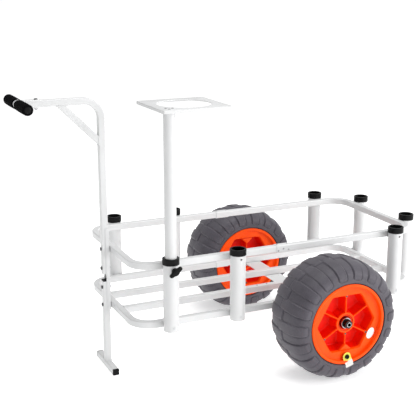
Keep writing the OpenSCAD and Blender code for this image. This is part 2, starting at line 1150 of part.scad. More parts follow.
// Square plate with a turned-down lip and one large hole
module table_plate() {
    color("white")
        difference() {
            translate([plate_x, plate_y, table_z - lip_h])
                linear_extrude(lip_h)
                    rounded_rect(table_w, table_w, plate_corner_r);
            translate([plate_x, plate_y, table_z - lip_h - eps])
                linear_extrude(lip_h - plate_t + eps)
                    rounded_rect(table_w - 2 * plate_t, table_w - 2 * plate_t, plate_corner_r - plate_t);
            translate([plate_x, plate_y, table_z - lip_h])
                cylinder(r = table_hole_r, h = lip_h + eps, $fn = 96);
            plate_screw_set(plate_head_h + eps);
        }
}

module plate_screws() {
    color("dimgray")
        plate_screw_set(plate_head_h);
}

front_top_hoop();
rear_top_hoop();
front_deck_hoop();
rear_deck_hoop();
rail_sleeves();
splice_screws();
front_deck_bars();
rear_deck_bars();
deck_joiners();
axle_beam();
beam_rivets();
axle();
axle_straps();
wheel_spacers();
axle_washers();
axle_collars();
collar_screws();
left_tyre();
left_rim_outer();
left_rim_inner();
left_rim_screws();
left_bushes();
left_valve();
right_tyre();
right_rim_outer();
right_rim_inner();
right_rim_screws();
right_bushes();
right_valve();
mast_channel();
channel_pads();
handle_tube();
handle_brace();
tee_bar();
left_grip();
right_grip();
frame_bolts();
frame_nuts();
front_leg();
foot_bar();
end_plugs();
holder_1();
holder_2();
holder_3();
holder_4();
holder_5();
holder_6();
holder_7();
holder_8();
holder_rings();
holder_saddles();
holder_screws();
clamp_collar();
clamp_nut();
clamp_screw();
clamp_knob();
table_mast();
mast_foot_plug();
table_plate();
plate_screws();
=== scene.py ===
"""Looks of the beach cart: balloon tyres, orange rims, powder-coated tubes, black fittings and foam grips.

Lengths are in metres in the CAD's frame, apart from the outlines of rims, tags and knob, which are in mm.
X runs from the handle to the rear, Y from left to right. Places come from the CAD nodes' own boxes.
"""
import json
import math

import bmesh
import bpy
import numpy as np
from mathutils import Matrix, Vector

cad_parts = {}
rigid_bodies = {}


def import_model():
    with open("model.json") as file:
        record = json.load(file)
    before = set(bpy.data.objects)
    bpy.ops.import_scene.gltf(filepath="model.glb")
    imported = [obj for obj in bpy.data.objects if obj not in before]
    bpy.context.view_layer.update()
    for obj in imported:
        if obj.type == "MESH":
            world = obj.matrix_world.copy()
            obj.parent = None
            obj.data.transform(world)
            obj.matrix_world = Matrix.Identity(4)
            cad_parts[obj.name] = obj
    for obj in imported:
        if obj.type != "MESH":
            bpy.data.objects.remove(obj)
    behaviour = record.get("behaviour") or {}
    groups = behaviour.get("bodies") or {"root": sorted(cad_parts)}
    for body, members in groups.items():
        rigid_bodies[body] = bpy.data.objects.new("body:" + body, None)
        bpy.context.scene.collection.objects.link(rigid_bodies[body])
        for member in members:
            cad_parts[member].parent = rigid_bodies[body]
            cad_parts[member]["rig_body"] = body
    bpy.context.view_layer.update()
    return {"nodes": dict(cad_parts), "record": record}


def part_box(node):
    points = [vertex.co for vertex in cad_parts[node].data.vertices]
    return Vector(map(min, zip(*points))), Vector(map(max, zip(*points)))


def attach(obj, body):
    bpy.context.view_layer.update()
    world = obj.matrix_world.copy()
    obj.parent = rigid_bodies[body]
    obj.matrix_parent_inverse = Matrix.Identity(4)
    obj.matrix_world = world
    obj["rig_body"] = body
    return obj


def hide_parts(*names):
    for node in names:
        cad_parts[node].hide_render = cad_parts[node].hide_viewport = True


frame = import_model()

MM = 0.001
TAU = 2 * math.pi
SIDES = {"left": -1, "right": 1}
MERGE = 2e-6  # points closer than this are one point


def centre(node):
    low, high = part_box(node)
    return (low + high) / 2


# ---- materials ------------------------------------------------------------------------------------

class Shader:
    """A Principled material with short calls for the procedural nodes that feed it.

    The stops of a noise's ramp lie near 0.3 and 0.7, because the noise seldom goes past them.
    """

    def __init__(self, name, rough, metallic=0.0, **fixed):
        self.material = bpy.data.materials.new(name)
        self.material.use_nodes = True
        self.nodes = self.material.node_tree.nodes
        self.links = self.material.node_tree.links
        self.bsdf = self.nodes["Principled BSDF"]
        self.bsdf.inputs["Roughness"].default_value = rough
        self.bsdf.inputs["Metallic"].default_value = metallic
        for socket, value in fixed.items():
            self.bsdf.inputs[socket.replace("_", " ")].default_value = value
        self.place = self.nodes.new("ShaderNodeTexCoord").outputs["Object"]

    def stretched(self, scale):
        mapping = self.nodes.new("ShaderNodeMapping")
        mapping.inputs["Scale"].default_value = scale
        self.links.new(self.place, mapping.inputs["Vector"])
        return mapping.outputs["Vector"]

    def noise(self, scale, detail=3.0, rough=0.55, stretch=None):
        node = self.nodes.new("ShaderNodeTexNoise")
        node.inputs["Scale"].default_value = scale
        node.inputs["Detail"].default_value = detail
        node.inputs["Roughness"].default_value = rough
        self.links.new(self.stretched(stretch) if stretch else self.place, node.inputs["Vector"])
        return node.outputs["Fac"]

    def cells(self, scale):
        node = self.nodes.new("ShaderNodeTexVoronoi")
        node.inputs["Scale"].default_value = scale
        self.links.new(self.place, node.inputs["Vector"])
        return node.outputs["Distance"]

    def ramp(self, fac, *stops):
        """Colour ramp; each stop is (place, colour or grey value)."""
        node = self.nodes.new("ShaderNodeValToRGB")
        elements = node.color_ramp.elements
        while len(elements) < len(stops):
            elements.new(0.5)
        for element, (at, value) in zip(elements, stops):
            element.position = at
            element.color = (*value, 1) if hasattr(value, "__len__") else (value, value, value, 1)
        self.links.new(fac, node.inputs["Fac"])
        return node.outputs["Color"]

    def remap(self, fac, low, high):
        """Spreads a value in 0 to 1 over low to high."""
        node = self.nodes.new("ShaderNodeMapRange")
        node.inputs["To Min"].default_value = low
        node.inputs["To Max"].default_value = high
        self.links.new(fac, node.inputs["Value"])
        return node.outputs["Result"]

    def step(self, value, low, high):
        """0 where a value is below low, 1 where it is above high."""
        node = self.nodes.new("ShaderNodeMapRange")
        node.inputs["From Min"].default_value = low
        node.inputs["From Max"].default_value = high
        self.links.new(value, node.inputs["Value"])
        return node.outputs["Result"]

    def vector_math(self, operation, vector, constant):
        node = self.nodes.new("ShaderNodeVectorMath")
        node.operation = operation
        self.links.new(vector, node.inputs[0])
        node.inputs[1].default_value = constant
        return node.outputs["Value"]

    def mix(self, fac, a, b, blend="MIX"):
        node = self.nodes.new("ShaderNodeMix")
        node.data_type = "RGBA"
        node.blend_type = blend
        for socket, value in ((node.inputs[0], fac), (node.inputs[6], a), (node.inputs[7], b)):
            if isinstance(value, bpy.types.NodeSocket):
                self.links.new(value, socket)
            else:
                socket.default_value = (*value, 1) if hasattr(value, "__len__") else value
        return node.outputs[2]

    def colour(self, socket):
        self.links.new(socket, self.bsdf.inputs["Base Color"])

    def roughness(self, socket):
        self.links.new(socket, self.bsdf.inputs["Roughness"])

    def bump(self, *layers):
        """Each layer is (height socket, depth in metres)."""
        normal = None
        for height, depth in layers:
            node = self.nodes.new("ShaderNodeBump")
            node.inputs["Strength"].default_value = 1.0
            node.inputs["Distance"].default_value = depth
            self.links.new(height, node.inputs["Height"])
            if normal:
                self.links.new(normal, node.inputs["Normal"])
            normal = node.outputs["Normal"]
        self.links.new(normal, self.bsdf.inputs["Normal"])


def powder_coat():
    s = Shader("white_powder_coat", 0.36, Coat_Weight=0.25, Coat_Roughness=0.22)
    cloud = s.ramp(s.noise(9, 4), (0.3, (0.615, 0.62, 0.62)), (0.7, (0.65, 0.655, 0.66)))
    s.colour(cloud)
    s.roughness(s.remap(s.noise(60, 3), 0.30, 0.44))
    s.bump((s.noise(900, 2), 0.00006), (s.noise(140, 2), 0.00005))
    return s.material


def zinc():
    s = Shader("zinc_plate", 0.34, 1.0)
    s.colour(s.ramp(s.noise(70, 4), (0.3, (0.34, 0.34, 0.35)), (0.7, (0.50, 0.50, 0.52))))
    s.roughness(s.remap(s.noise(260, 3), 0.24, 0.46))
    s.bump((s.noise(1500, 2), 0.00003))
    return s.material


def polished():
    s = Shader("polished_steel", 0.14, 1.0)
    marks = s.noise(420, 2, stretch=(0.35, 4, 0.35))
    s.colour(s.ramp(marks, (0.3, (0.40, 0.40, 0.41)), (0.7, (0.56, 0.56, 0.58))))
    s.roughness(s.remap(marks, 0.08, 0.24))
    s.bump((marks, 0.00001))
    return s.material


def tyre_pvc():
    s = Shader("tyre_pvc", 0.52, Sheen_Weight=0.1, Sheen_Roughness=0.5, Specular_IOR_Level=0.35)
    cloud = s.ramp(s.noise(14, 5, 0.6), (0.3, (0.063, 0.057, 0.071)), (0.7, (0.085, 0.078, 0.095)))
    dust = s.ramp(s.noise(240, 4), (0.35, (0.86, 0.86, 0.86)), (0.65, (1.0, 1.0, 1.0)))
    s.colour(s.mix(1.0, cloud, dust, "MULTIPLY"))
    s.roughness(s.remap(s.noise(45, 4), 0.44, 0.64))
    s.bump((s.noise(1300, 3), 0.00012), (s.noise(70, 3), 0.0006))
    return s.material


# Below RED_BELOW the rim's colour is a painted shade of deeper red; above ORANGE_ABOVE it is plain orange
RED_BELOW, ORANGE_ABOVE = 71.0 * MM, 77.2 * MM  # distance from the wheel's middle plane
# Radius from the axle's axis inside which the steel's colour is a painted shade
AXLE_BORE = 6.2 * MM


def rim_plastic():
    """Orange plastic with painted shade: a deeper red is painted down in the pockets, for the shade and the
    red light that comes only off their own walls.
    """
    s = Shader("orange_rim", 0.40, Specular_IOR_Level=0.16)
    face = s.ramp(s.noise(22, 4), (0.3, (0.90, 0.066, 0.0)), (0.7, (0.97, 0.086, 0.0)))
    painted_pocket_shade = s.ramp(s.noise(22, 4), (0.3, (0.72, 0.004, 0.0)), (0.7, (0.84, 0.010, 0.0)))
    split = s.nodes.new("ShaderNodeSeparateXYZ")
    s.links.new(s.place, split.inputs[0])
    off_plane = split.outputs["Y"]
    # Folded twice: about the cart's middle, then about the wheel's
    for shift in (0.0, -centre("right_tyre").y):
        add = s.nodes.new("ShaderNodeMath")
        add.inputs[1].default_value = shift
        absolute = s.nodes.new("ShaderNodeMath")
        absolute.operation = "ABSOLUTE"
        s.links.new(off_plane, add.inputs[0])
        s.links.new(add.outputs[0], absolute.inputs[0])
        off_plane = absolute.outputs[0]
    # Painted shade: deeper red near the middle plane, down in the pockets, plain orange on the faces
    s.colour(s.mix(s.step(off_plane, RED_BELOW, ORANGE_ABOVE), painted_pocket_shade, face))
    s.roughness(s.remap(s.noise(90, 3), 0.34, 0.48))
    s.bump((s.noise(1100, 2), 0.00005), (s.noise(55, 2), 0.00025))
    return s.material


def black_plastic():
    s = Shader("black_plastic", 0.36, Specular_IOR_Level=0.12)
    s.colour(s.ramp(s.noise(60, 4), (0.3, (0.003, 0.003, 0.0033)), (0.7, (0.006, 0.006, 0.0065))))
    s.roughness(s.remap(s.noise(160, 3), 0.26, 0.44))
    s.bump((s.cells(1500), 0.00006), (s.noise(120, 2), 0.0001))
    return s.material


def foam():
    s = Shader("black_foam", 0.88, Specular_IOR_Level=0.02)
    s.colour(s.ramp(s.cells(700), (0.0, (0.001, 0.001, 0.001)), (0.6, (0.004, 0.004, 0.0045))))
    s.roughness(s.remap(s.noise(200, 3), 0.8, 0.95))
    s.bump((s.cells(700), 0.0005), (s.noise(90, 3), 0.0006))
    return s.material


def grey_pad():
    s = Shader("grey_pad", 0.6)
    s.colour(s.ramp(s.noise(80, 4), (0.3, (0.24, 0.24, 0.245)), (0.7, (0.31, 0.31, 0.315))))
    s.bump((s.noise(900, 3), 0.0001))
    return s.material


def dark_steel():
    s = Shader("black_oxide_steel", 0.38, 1.0)
    s.colour(s.ramp(s.noise(90, 4), (0.3, (0.06, 0.06, 0.063)), (0.7, (0.11, 0.11, 0.115))))
    s.roughness(s.remap(s.noise(240, 3), 0.28, 0.48))
    return s.material


def axle_steel():
    """Polished steel with painted shade: near black inside the bores in its ends."""
    s = Shader("axle_steel", 0.16, 1.0)
    bright = s.ramp(s.noise(300, 3), (0.3, (0.46, 0.46, 0.47)), (0.7, (0.62, 0.62, 0.64)))
    middle = centre("axle")
    from_axis = s.vector_math("DISTANCE", s.stretched((1, 0, 1)), (middle.x, 0, middle.z))
    # Painted shade: near black within the bore's radius of the axis
    s.colour(s.mix(s.step(from_axis, AXLE_BORE, AXLE_BORE + 0.3 * MM), (0.012, 0.012, 0.012), bright))
    s.roughness(s.remap(s.noise(240, 2), 0.10, 0.24))
    return s.material


def dark_chrome(name, low, high):
    s = Shader(name, 0.18, 1.0)
    s.colour(s.ramp(s.noise(120, 3), (0.3, (low, low, low)), (0.7, (high, high, high))))
    s.roughness(s.remap(s.noise(300, 3), 0.12, 0.28))
    return s.material


def sticker_film():
    s = Shader("sticker_film", 0.35, Coat_Weight=0.3)
    s.colour(s.ramp(s.noise(160, 4), (0.35, (0.80, 0.79, 0.80)), (0.65, (0.87, 0.86, 0.87))))
    s.bump((s.noise(600, 2), 0.00003))
    return s.material


def button_plastic():
    s = Shader("button_plastic", 0.45)
    s.colour(s.ramp(s.noise(200, 3), (0.3, (0.52, 0.53, 0.54)), (0.7, (0.60, 0.61, 0.62))))
    s.bump((s.noise(900, 2), 0.00004))
    return s.material


TAG_LEAN = math.radians(17)
TAG_BAND = 14.1 * MM  # from the valve to the line between the tag's colours


def tag_paper(middle, valve, down):
    """Yellow-green above and white below, split by a line across the tag."""
    s = Shader("tag_card", 0.6)
    up = Vector((-math.sin(TAG_LEAN), 0, -down * math.cos(TAG_LEAN)))
    height = s.vector_math("DOT_PRODUCT", s.place, up)
    line = (middle + valve * MM).dot(up) - TAG_BAND
    white = s.ramp(s.noise(300, 4), (0.35, (0.56, 0.56, 0.53)), (0.65, (0.68, 0.68, 0.65)))
    green = s.ramp(s.noise(300, 4), (0.35, (0.62, 0.60, 0.05)), (0.65, (0.70, 0.68, 0.09)))
    s.colour(s.mix(s.step(height, line - 0.3 * MM, line + 0.3 * MM), white, green))
    s.bump((s.noise(500, 3), 0.00005))
    return s.material


STICKER = sticker_film()
BUTTON = button_plastic()
DARK_CHROME = dark_chrome("screw_steel", 0.10, 0.17)
COLLAR_STEEL = dark_chrome("collar_steel", 0.03, 0.06)
AXLE_STEEL = axle_steel()
MATERIALS = {
    "dark_steel": dark_steel(),
    "frame_white": powder_coat(),
    "steel": zinc(),
    "polished_steel": polished(),
    "tyre_grey": tyre_pvc(),
    "rim_orange": rim_plastic(),
    "plastic_black": black_plastic(),
    "foam_black": foam(),
    "pad_grey": grey_pad(),
}
SLOT_OF = {part["node"]: part["material_slot"] for part in frame["record"]["subparts"]}
for node_name, slot_name in SLOT_OF.items():
    mesh = frame["nodes"][node_name].data
    mesh.materials.clear()
    mesh.materials.append(MATERIALS[slot_name])


# ---- making pieces --------------------------------------------------------------------------------

SHARP = math.radians(38)  # steeper edges are shaded sharp
BEVELLED = math.radians(32)  # steeper edges of a CAD node are rounded


def finished(name, mesh, body, slot, replaced=(), material=None):
    """Links a mesh as a piece that rides on a body and takes its finish from a slot."""
    for polygon in mesh.polygons:
        polygon.use_smooth = True
    mesh.set_sharp_from_angle(angle=SHARP)
    mesh.materials.clear()
    mesh.materials.append(material or MATERIALS[slot])
    obj = bpy.data.objects.new(name, mesh)
    bpy.context.scene.collection.objects.link(obj)
    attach(obj, body)
    if replaced:
        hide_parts(*replaced)
    return obj


def piece(name, parts, body, slot, replaced=(), material=None):
    """One piece from a list of (points, faces); coincident points are merged and faces turned outward."""
    bm = bmesh.new()
    for points, faces in parts:
        verts = [bm.verts.new(p) for p in points]
        for face in faces:
            corners = [verts[i] for i in face]
            if len(set(corners)) == len(corners):
                bm.faces.new(corners)
    bmesh.ops.remove_doubles(bm, verts=bm.verts, dist=MERGE)
    bmesh.ops.dissolve_degenerate(bm, edges=bm.edges, dist=1e-7)
    bmesh.ops.recalc_face_normals(bm, faces=bm.faces)
    mesh = bpy.data.meshes.new(name)
    bm.to_mesh(mesh)
    bm.free()
    return finished(name, mesh, body, slot, replaced, material)


def grid_faces(rows, columns, wrap_rows=False, wrap_columns=False):
    """Quads of a grid of rows x columns points, numbered row by row."""
    faces = []
    for i in range(rows if wrap_rows else rows - 1):
        for j in range(columns if wrap_columns else columns - 1):
            a, b = i, (i + 1) % rows
            c, d = j, (j + 1) % columns
            faces.append((a * columns + c, b * columns + c, b * columns + d, a * columns + d))
    return faces


def placed(part, origin, axis=(0, 0, 1), spin=0.0):
    """A part built about z, moved so that its z axis runs along axis from origin."""
    points, faces = part
    turn = Vector(axis).to_track_quat("Z", "Y").to_matrix() @ Matrix.Rotation(spin, 3, "Z")
    return [Vector(origin) + turn @ Vector(p) for p in points], faces


def turned(profile, steps=64):
    """A closed profile of (radius, height) in metres, turned about z."""
    points = []
    for radius, height in profile:
        for k in range(steps):
            angle = TAU * k / steps
            points.append((radius * math.cos(angle), radius * math.sin(angle), height))
    return points, grid_faces(len(profile), steps, wrap_rows=True, wrap_columns=True)


def rounded(corners, radius, steps=4):
    """The outline through corners (closed), with each of them rounded."""
    outline = []
    count = len(corners)
    for i, corner in enumerate(corners):
        here = np.array(corner, float)
        before = np.array(corners[i - 1], float) - here
        after = np.array(corners[(i + 1) % count], float) - here
        reach = min(radius, 0.45 * np.linalg.norm(before), 0.45 * np.linalg.norm(after))
        start = here + before / np.linalg.norm(before) * reach
        end = here + after / np.linalg.norm(after) * reach
        for t in np.linspace(0, 1, steps + 1):
            outline.append(tuple((1 - t) ** 2 * start + 2 * t * (1 - t) * here + t * t * end))
    return outline


def softened(node, width, segments=2, material=None):
    """A copy of a CAD node with its edges rounded, which stands for the node."""
    source = frame["nodes"][node]
    bm = bmesh.new()
    bm.from_mesh(source.data)
    bmesh.ops.remove_doubles(bm, verts=bm.verts, dist=MERGE)
    bmesh.ops.dissolve_limit(bm, angle_limit=math.radians(0.6), verts=bm.verts, edges=bm.edges)
    bmesh.ops.recalc_face_normals(bm, faces=bm.faces)
    sharp = [e for e in bm.edges if len(e.link_faces) == 2 and e.calc_face_angle(0) > BEVELLED]
    bmesh.ops.bevel(bm, geom=sharp, offset=width, offset_type="OFFSET", segments=segments, profile=0.5,
                    affect="EDGES", clamp_overlap=True, harden_normals=False)
    bmesh.ops.triangulate(bm, faces=[f for f in bm.faces if len(f.verts) > 4])
    mesh = bpy.data.meshes.new(node + "_soft")
    bm.to_mesh(mesh)
    bm.free()
    obj = finished(mesh.name, mesh, source["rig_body"], SLOT_OF[node], [node], material)
    obj.modifiers.new("weighted_normals", "WEIGHTED_NORMAL").keep_sharp = True
    return obj


def smoothstep(low, high, value):
    t = np.clip((value - low) / (high - low), 0, 1)
    return t * t * (3 - 2 * t)


def islands(node):
    """The points of each separate solid in a CAD node."""
    bm = bmesh.new()
    bm.from_mesh(frame["nodes"][node].data)
    bmesh.ops.remove_doubles(bm, verts=bm.verts, dist=MERGE)
    left = set(bm.verts)
    found = []
    while left:
        seed = left.pop()
        group, queue = [seed], [seed]
        while queue:
            for edge in queue.pop().link_edges:
                for vert in edge.verts:
                    if vert in left:
                        left.remove(vert)
                        group.append(vert)
                        queue.append(vert)
        found.append(np.array([v.co[:] for v in group]))
    bm.free()
    return sorted(found, key=lambda pts: tuple(np.round(pts.mean(0), 5)))


def head_end(points):
    """Middle, outward direction and radius of a screw's head, and the screw's length."""
    best = None
    for axis in range(3):
        for sign in (-1, 1):
            along = points[:, axis] * sign
            flat = points[along > along.max() - 1e-5]
            others = [k for k in range(3) if k != axis]
            reach = np.ptp(flat[:, others], axis=0).min() / 2
            if best is None or reach > best[2] + 1e-5:
                direction = np.zeros(3)
                direction[axis] = sign
                best = (flat.mean(0), direction, reach, np.ptp(along))
    return best


# ---- screws, welds and caps ------------------------------------------------------------------------

def cross_head(radius, height, steps=40, rings=10):
    """Pan head on z = 0 with a cross recess in its top."""
    points = []
    for step in range(rings + 1):
        reach = step / rings
        for k in range(steps):
            angle = TAU * k / steps
            x, y = 0.9 * radius * reach * math.cos(angle), 0.9 * radius * reach * math.sin(angle)
            z = height * (1 - 0.32 * reach ** 2.4)
            slim, far = min(abs(x), abs(y)), max(abs(x), abs(y))
            if slim < 0.15 * radius and far < 0.58 * radius:
                z -= 0.5 * height
            points.append((x, y, z))
    for reach, z in ((0.98, 0.5), (1.0, 0.3), (1.0, 0.0), (0.3, 0.0), (0.0, 0.0)):
        for k in range(steps):
            angle = TAU * k / steps
            points.append((reach * radius * math.cos(angle), reach * radius * math.sin(angle), z * height))
    return points, grid_faces(rings + 6, steps, wrap_columns=True)


def shank(radius, length):
    """Threaded-looking shank that runs down from z = 0."""
    profile = [(0, 0), (radius, 0)]
    ridges = max(3, int(length / (0.9 * MM)))
    for k in range(ridges):
        z = -length * (k + 0.5) / ridges
        profile += [(radius, z + 0.2 * length / ridges), (0.82 * radius, z - 0.2 * length / ridges)]
    return turned(profile + [(0.7 * radius, -length), (0, -length)], 20)


def screws(node, head, thickness, shank_radius, domed=1.0):
    """Cross-head screws where the CAD node has its plain ones."""
    parts = []
    for count, points in enumerate(islands(node)):
        top, out, _, length = head_end(points)
        seat = top - out * thickness
        parts.append(placed(cross_head(head, thickness * domed), seat, out, 0.7 * count))
        parts.append(placed(shank(shank_radius, length - thickness), seat, out))
    piece(node + "_cross", parts, frame["nodes"][node]["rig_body"], SLOT_OF[node], [node])


def weld(route, radius):
    """A bead of overlapping scallops along a closed route."""
    off_route = Vector((0.31, 0.47, 0.83))  # no route runs this way
    route = [Vector(p) for p in route]
    spots = []
    for a, b in zip(route, route[1:] + route[:1]):
        steps = max(1, round((b - a).length / (0.8 * MM)))
        spots += [a.lerp(b, k / steps) for k in range(steps)]
    points = []
    for k, spot in enumerate(spots):
        along = (spots[(k + 1) % len(spots)] - spots[k - 1]).normalized()
        across = along.cross(off_route).normalized()
        upward = along.cross(across)
        size = radius * (1 + 0.14 * math.sin(TAU * k / 4))
        for j in range(10):
            angle = TAU * j / 10
            points.append(spot + across * size * math.cos(angle) + upward * size * math.sin(angle))
    return points, grid_faces(len(spots), 10, wrap_rows=True, wrap_columns=True)


def frame_around(middle, u, v, half_u, half_v):
    """Corners of a rectangle with axes u and v, for a weld round a square tube."""
    outline = rounded([(-half_u, -half_v), (half_u, -half_v), (half_u, half_v), (-half_u, half_v)], 3 * MM)
    return [Vector(middle) + Vector(u) * a + Vector(v) * b for a, b in outline]


# ---- tyres ----------------------------------------------------------------------------------------

LUGS = 18
LUG_HALF_ANGLE = math.radians(5.4)
LUG_DEPTH = 3.2 * MM
LUG_PAST_MIDDLE = 11 * MM
LUG_FROM_LIP = 12 * MM
LUG_CORNER = 7 * MM
GROOVE_DEPTH = 2.2 * MM
GROOVE_HALF = 2.0 * MM
GROOVE_OFF_LUG = 1.2 * MM
TYRE_LIP_R = 140.2 * MM
TYRE_AROUND = 648
TYRE_ACROSS = 132


def balloon_section(lip_r, outer_r, half_w):
    """Points (radius, offset) across the tyre at even steps, and the distance run to each of them."""
    angle = np.linspace(-math.pi / 2, math.pi / 2, 2001)
    r = lip_r + (outer_r - lip_r) * np.maximum(np.cos(angle), 0) ** 0.6
    w = half_w * np.sign(np.sin(angle)) * np.abs(np.sin(angle)) ** 0.8
    run = np.concatenate([[0], np.cumsum(np.hypot(np.diff(r), np.diff(w)))])
    even = np.linspace(0, run[-1], TYRE_ACROSS)
    return np.interp(even, run, r), np.interp(even, run, w), even


def lug_height(theta, run, radius, total):
    """Height of one side's lugs and depth of the groove round them; run starts at that side's lip."""
    pitch = TAU / LUGS
    first, last = LUG_FROM_LIP, total / 2 + LUG_PAST_MIDDLE
    across = (np.abs((theta + pitch / 2) % pitch - pitch / 2) - LUG_HALF_ANGLE) * radius
    along = np.abs(run - (first + last) / 2) - (last - first) / 2
    # Distance outside a rectangle with rounded corners
    dx, dy = across + LUG_CORNER, along + LUG_CORNER
    outside = np.hypot(np.maximum(dx, 0), np.maximum(dy, 0)) + np.minimum(np.maximum(dx, dy), 0)
    outside -= LUG_CORNER
    raised = LUG_DEPTH * (1 - smoothstep(-3.2 * MM, 0.6 * MM, outside))
    # The groove is deep near the lip and at the tyre's middle, and faint between them
    ends = 1 - smoothstep(first + 26 * MM, first + 60 * MM, run)
    ends = np.maximum(ends, 0.7 * smoothstep(total / 2 - 14 * MM, total / 2 + 2 * MM, run))
    shape = np.exp(-((outside - GROOVE_OFF_LUG) / GROOVE_HALF) ** 2)
    return raised, GROOVE_DEPTH * (0.3 + 0.7 * ends) * shape


def make_tyre(side_name):
    node = side_name + "_tyre"
    low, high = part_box(node)
    mid = (low + high) / 2
    outer_r, half_w = (high.x - low.x) / 2, (high.y - low.y) / 2
    r, w, run = balloon_section(TYRE_LIP_R, outer_r - LUG_DEPTH, half_w - 1.0 * MM)
    total = run[-1]
    theta = np.arange(TYRE_AROUND) * TAU / TYRE_AROUND
    t, s = np.meshgrid(theta, run, indexing="ij")
    radius = np.broadcast_to(r, t.shape)
    near_raised, near_groove = lug_height(t, s, radius, total)
    far_raised, far_groove = lug_height(t + TAU / LUGS / 2, total - s, radius, total)
    height = np.maximum(near_raised, far_raised) - np.maximum(near_groove, far_groove)
    slope_r, slope_w = np.gradient(r), np.gradient(w)
    length = np.hypot(slope_r, slope_w)
    out_r, out_w = slope_w / length, -slope_r / length
    rr = radius + height * out_r
    ww = np.broadcast_to(w, t.shape) + height * out_w
    ww = np.clip(ww, -half_w, half_w)
    points = np.stack([mid.x + rr * np.cos(t), mid.y + ww, mid.z + rr * np.sin(t)], -1).reshape(-1, 3)
    faces = grid_faces(TYRE_AROUND, TYRE_ACROSS, wrap_rows=True)
    # The sidewall turns in beside the lip and closes behind it
    count = len(points)
    inner = []
    for column, sign in ((0, -1), (TYRE_ACROSS - 1, 1)):
        border = range(column, count, TYRE_ACROSS)
        for bead_r, back in ((TYRE_LIP_R, 9 * MM), (TYRE_LIP_R - 9 * MM, 10 * MM)):
            first = count + len(inner)
            y = mid.y + sign * (half_w - back)
            inner += [(mid.x + bead_r * math.cos(a), y, mid.z + bead_r * math.sin(a)) for a in theta]
            row = range(first, first + TYRE_AROUND)
            for i in range(TYRE_AROUND):
                j = (i + 1) % TYRE_AROUND
                quad = (border[i], row[i], row[j], border[j])
                faces.append(quad if sign < 0 else quad[::-1])
            border = row
    skin = np.concatenate([points, inner]), faces
    piece(side_name + "_balloon_tyre", [skin], side_name + "_wheel", "tyre_grey", [node])


def wheel_side(side_name, half):
    """Middle of a wheel, and the direction of one of its faces along Y."""
    return centre(side_name + "_tyre"), SIDES[side_name] * (1 if half == "outer" else -1)


# ---- rims -----------------------------------------------------------------------------------------

# Lengths in mm; an offset is the distance from the wheel's middle plane
SPOKES = 6
EDGE_STEPS = 24
RIB_STEPS = 16
RIB_HALF = 1.1
HEX_FLAT = 96.2  # from the wheel's axis to the hexagon's flat side
HEX_ROUND = 0.03
HUB_R = 33.0
FACE_W, RIB_W, FLOOR_W = 82.0, 78.0, 42.0
POCKET_MID = 68.0

# (radius, offset) from the hexagon's edge over the lip, round the barrel and the back, to the hub
LIP_TO_HUB = [
    (124.0, 82.0), (125.4, 82.5), (126.0, 83.8), (126.3, 93.6), (126.9, 95.4), (128.4, 96.4), (130.0, 96.5),
    (134.0, 96.5), (135.8, 95.9), (136.8, 94.4), (137.0, 92.8), (136.4, 91.7), (129.8, 91.5), (129.0, 90.6),
    (129.0, 78.6), (128.4, 78.0), (125.4, 78.0), (125.0, 77.4), (125.0, 0.0), (121.5, 0.0), (121.5, 36.0),
    (15.0, 36.0), (15.0, 61.5), (15.5, 62.0), (21.5, 62.0), (22.0, 62.6), (22.2, 73.2), (23.0, 74.0),
    (27.0, 74.0), (27.8, 74.6), (28.2, 77.4), (29.0, 78.3), (31.5, 78.3), (HUB_R, 78.0),
]
# (scale, offset) of each ring down a pocket's wall and across its floor
POCKET_RINGS = [
    (1.0, RIB_W), (0.995, RIB_W - 0.3), (0.985, RIB_W - 1.2), (0.955, RIB_W - 10), (0.86, RIB_W - 22),
    (0.77, FLOOR_W + 4), (0.74, FLOOR_W + 1.2), (0.70, FLOOR_W + 0.2), (0.62, FLOOR_W), (0.35, FLOOR_W),
    (0.0, FLOOR_W),
]


def hexagon_radius(phi):
    """Radius of the hexagon at an angle from its corner, which is a little rounded."""
    return HEX_FLAT / np.cos(math.radians(30) - np.sqrt(phi ** 2 + HEX_ROUND ** 2))


def pocket_mouth(loop):
    """Moves a sector's border inward to leave a rib on both sides and a rim at the hub."""
    mouth = loop.copy()
    for _ in range(3):
        for side in (-1, 1):
            inward = np.array([math.sin(math.radians(30)), side * math.cos(math.radians(30))])
            short = np.maximum(RIB_HALF - mouth @ inward, 0)
            mouth += short[:, None] * inward
            outward = np.array([math.cos(math.radians(30)), side * math.sin(math.radians(30))])
            over = np.maximum(mouth @ outward - HEX_FLAT + 2.0, 0)
            mouth -= over[:, None] * outward
        reach = np.linalg.norm(mouth, axis=1)
        mouth *= (np.maximum(reach, HUB_R + 0.8) / reach)[:, None]
    for _ in range(3):
        mouth = (np.roll(mouth, 1, 0) + 2 * mouth + np.roll(mouth, -1, 0)) / 4
    return mouth


